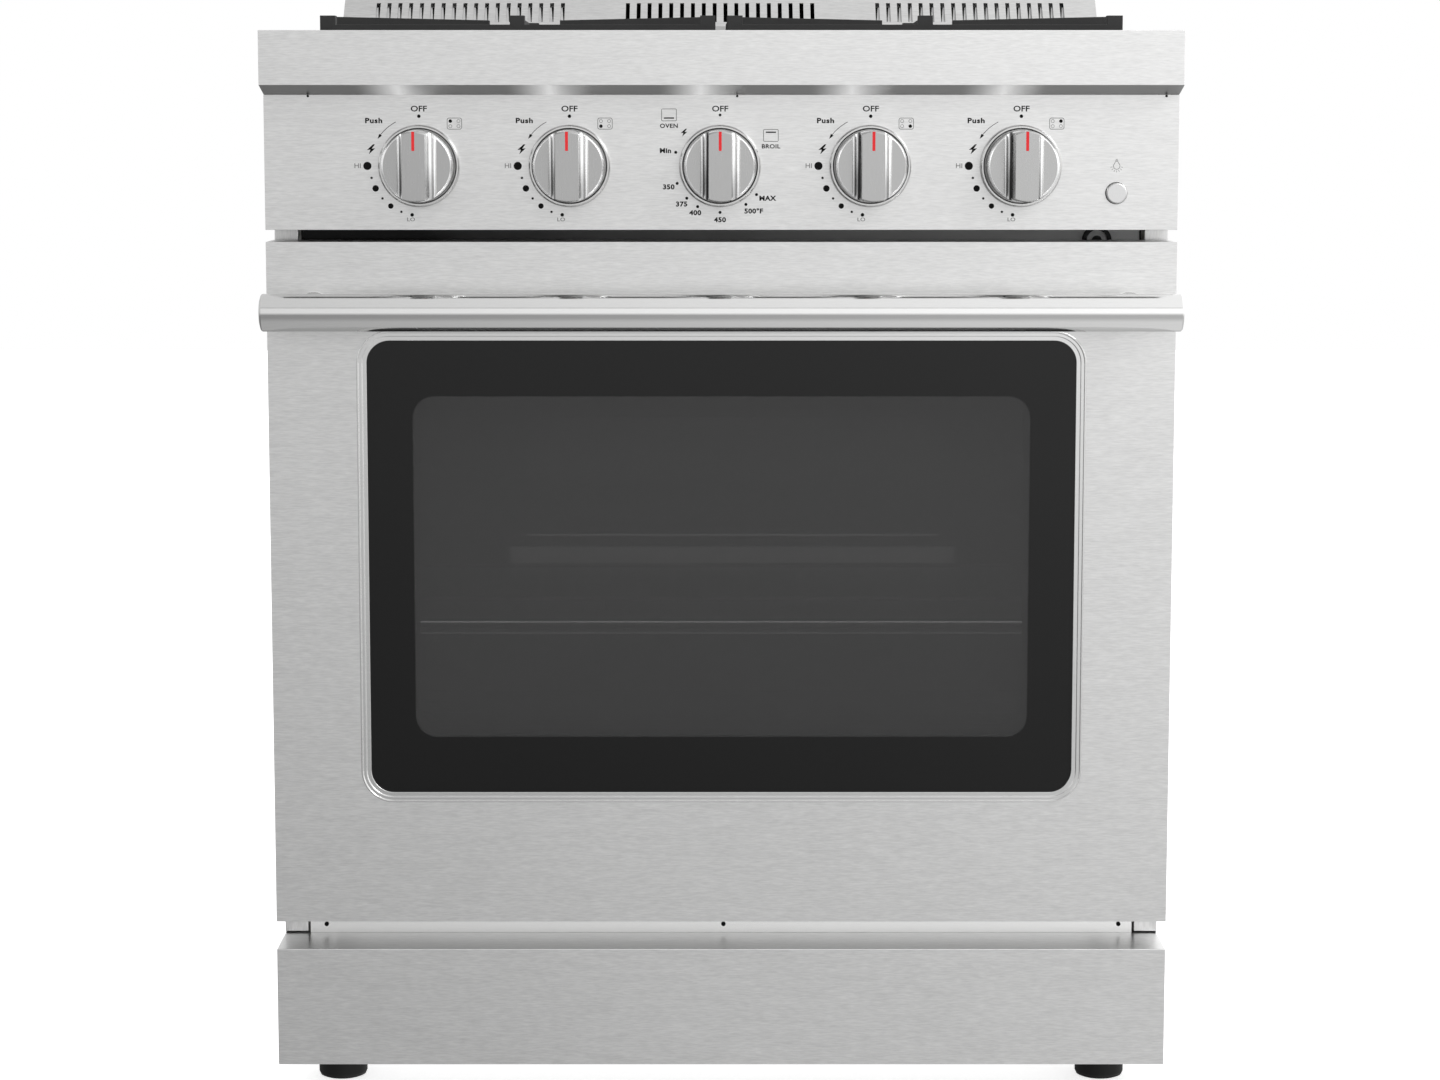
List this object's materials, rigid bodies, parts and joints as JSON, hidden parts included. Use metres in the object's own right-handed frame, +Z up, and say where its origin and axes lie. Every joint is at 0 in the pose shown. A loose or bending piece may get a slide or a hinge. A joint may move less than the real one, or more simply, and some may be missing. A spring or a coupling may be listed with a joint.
{
  "type": "freestanding gas range",
  "caption": "Freestanding gas range with sealed burners under cast grates, a drop-down oven door with a window and tube handle, push-turn knobs, and a slotted backguard.",
  "frame": {"origin": "middle of the bounding box at floor level", "axes": "+X to the right seen from the front, +Y back, +Z up"},
  "size_m": [0.76, 0.725, 0.96],
  "materials": {
    "brushed_steel": "fine horizontal brushing",
    "bright_steel": "polished",
    "chromed_wire": "bright drawn wire",
    "galvanised_steel": "zinc coated",
    "black_panel": "gloss black",
    "oven_enamel": "speckled vitreous enamel",
    "black_enamel": "gloss enamel",
    "cast_iron": "matte enamelled",
    "burner_aluminium": "die cast, satin",
    "knob_metal": "turned and brushed",
    "brass": "cast and machined",
    "ceramic": "unglazed",
    "window_glass": "dark tinted, polished",
    "clear_glass": "clear, polished",
    "glass_wool": "fibrous blanket",
    "gasket": "woven over silicone",
    "foot_plastic": "moulded, matte"
  },
  "bodies": {
    "range_body": {"side_panel_left": "brushed_steel", "side_panel_right": "brushed_steel", "rear_panel": "galvanised_steel", "base_pan": "galvanised_steel", "front_rail": "brushed_steel", "header_panel": "black_panel", "oven_cavity": "oven_enamel", "oven_insulation": "glass_wool", "oven_floor": "oven_enamel", "bake_burner": "galvanised_steel", "broil_burner": "galvanised_steel", "rack_guides": "chromed_wire", "oven_lamp": "clear_glass", "rear_baffle": "oven_enamel", "door_gasket": "gasket", "hinge_arms": "galvanised_steel", "cooktop_pan": "black_enamel", "bullnose": "brushed_steel", "burner_bases": "burner_aluminium", "burner_heads": "burner_aluminium", "burner_caps": "black_enamel", "igniters": "ceramic", "backguard": "brushed_steel", "flue_duct": "galvanised_steel", "control_panel": "brushed_steel", "knob_bezels": "bright_steel", "gas_supply": "galvanised_steel", "gas_valves": "brass", "light_switch": "foot_plastic", "body_screws": "bright_steel", "kick_plate": "brushed_steel"},
    "door": {"door_skin": "brushed_steel", "window_trim": "bright_steel", "door_glass_outer": "window_glass", "door_glass_frame": "black_panel", "door_glass_inner": "clear_glass", "door_insulation": "glass_wool", "door_liner": "oven_enamel", "door_hinges": "galvanised_steel", "handle_tube": "brushed_steel", "handle_brackets": "bright_steel", "handle_end_caps": "brushed_steel"},
    "rack": {"oven_rack": "chromed_wire"},
    "light_button": {"light_button": "knob_metal"},
    "grate_left": {"grate_left": "cast_iron"},
    "grate_right": {"grate_right": "cast_iron"},
    "leg_1": {"levelling_leg_1": "foot_plastic"},
    "leg_2": {"levelling_leg_2": "foot_plastic"},
    "leg_3": {"levelling_leg_3": "foot_plastic"},
    "leg_4": {"levelling_leg_4": "foot_plastic"},
    "stem_1": {"stem_1": "galvanised_steel"},
    "knob_1": {"knob_1": "knob_metal"},
    "stem_2": {"stem_2": "galvanised_steel"},
    "knob_2": {"knob_2": "knob_metal"},
    "stem_3": {"stem_3": "galvanised_steel"},
    "knob_3": {"knob_3": "knob_metal"},
    "stem_4": {"stem_4": "galvanised_steel"},
    "knob_4": {"knob_4": "knob_metal"},
    "stem_5": {"stem_5": "galvanised_steel"},
    "knob_5": {"knob_5": "knob_metal"}
  },
  "joints": [
    {"name": "door_hinge", "type": "hinge", "parent": "range_body", "child": "door", "pos_m": [0, -0.2575, 0.162], "axis": [1, 0, 0], "range_deg": [0, 90], "stiffness_Nm_per_rad": 20, "springref_deg": -14.32},
    {"name": "rack_slide", "type": "slide", "parent": "range_body", "child": "rack", "axis": [0, -1, 0], "range_m": [0, 0.27]},
    {"name": "light_push", "type": "slide", "parent": "range_body", "child": "light_button", "axis": [0, 1, 0], "range_m": [0, 0.0025], "stiffness_N_per_m": 300, "springref_m": -0.003},
    {"name": "grate_left_lift", "type": "slide", "parent": "range_body", "child": "grate_left", "axis": [0, 0, 1], "range_m": [0, 0.12]},
    {"name": "grate_right_lift", "type": "slide", "parent": "range_body", "child": "grate_right", "axis": [0, 0, 1], "range_m": [0, 0.12]},
    {"name": "leg_1_adjust", "type": "slide", "parent": "range_body", "child": "leg_1", "axis": [0, 0, -1], "range_m": [0, 0.025]},
    {"name": "leg_2_adjust", "type": "slide", "parent": "range_body", "child": "leg_2", "axis": [0, 0, -1], "range_m": [0, 0.025]},
    {"name": "leg_3_adjust", "type": "slide", "parent": "range_body", "child": "leg_3", "axis": [0, 0, -1], "range_m": [0, 0.025]},
    {"name": "leg_4_adjust", "type": "slide", "parent": "range_body", "child": "leg_4", "axis": [0, 0, -1], "range_m": [0, 0.025]},
    {"name": "knob_1_turn", "type": "hinge", "parent": "range_body", "child": "stem_1", "pos_m": [-0.2512, -0.2875, 0.792], "axis": [0, -1, 0], "range_deg": [0, 170]},
    {"name": "knob_1_push", "type": "slide", "parent": "stem_1", "child": "knob_1", "axis": [0, 1, 0], "range_m": [0, 0.004], "stiffness_N_per_m": 400, "springref_m": -0.004},
    {"name": "knob_2_turn", "type": "hinge", "parent": "range_body", "child": "stem_2", "pos_m": [-0.1262, -0.2875, 0.792], "axis": [0, -1, 0], "range_deg": [0, 170]},
    {"name": "knob_2_push", "type": "slide", "parent": "stem_2", "child": "knob_2", "axis": [0, 1, 0], "range_m": [0, 0.004], "stiffness_N_per_m": 400, "springref_m": -0.004},
    {"name": "knob_3_turn", "type": "hinge", "parent": "range_body", "child": "stem_3", "pos_m": [-0.0012, -0.2875, 0.792], "axis": [0, -1, 0], "range_deg": [0, 300]},
    {"name": "knob_3_push", "type": "slide", "parent": "stem_3", "child": "knob_3", "axis": [0, 1, 0], "range_m": [0, 0.004], "stiffness_N_per_m": 400, "springref_m": -0.004},
    {"name": "knob_4_turn", "type": "hinge", "parent": "range_body", "child": "stem_4", "pos_m": [0.1238, -0.2875, 0.792], "axis": [0, -1, 0], "range_deg": [0, 170]},
    {"name": "knob_4_push", "type": "slide", "parent": "stem_4", "child": "knob_4", "axis": [0, 1, 0], "range_m": [0, 0.004], "stiffness_N_per_m": 400, "springref_m": -0.004},
    {"name": "knob_5_turn", "type": "hinge", "parent": "range_body", "child": "stem_5", "pos_m": [0.2488, -0.2875, 0.792], "axis": [0, -1, 0], "range_deg": [0, 170]},
    {"name": "knob_5_push", "type": "slide", "parent": "stem_5", "child": "knob_5", "axis": [0, 1, 0], "range_m": [0, 0.004], "stiffness_N_per_m": 400, "springref_m": -0.004}
  ],
  "couplings": [
    {"joint": "rack_slide", "follows": "door_hinge", "m_per_rad": 0.16}
  ]
}
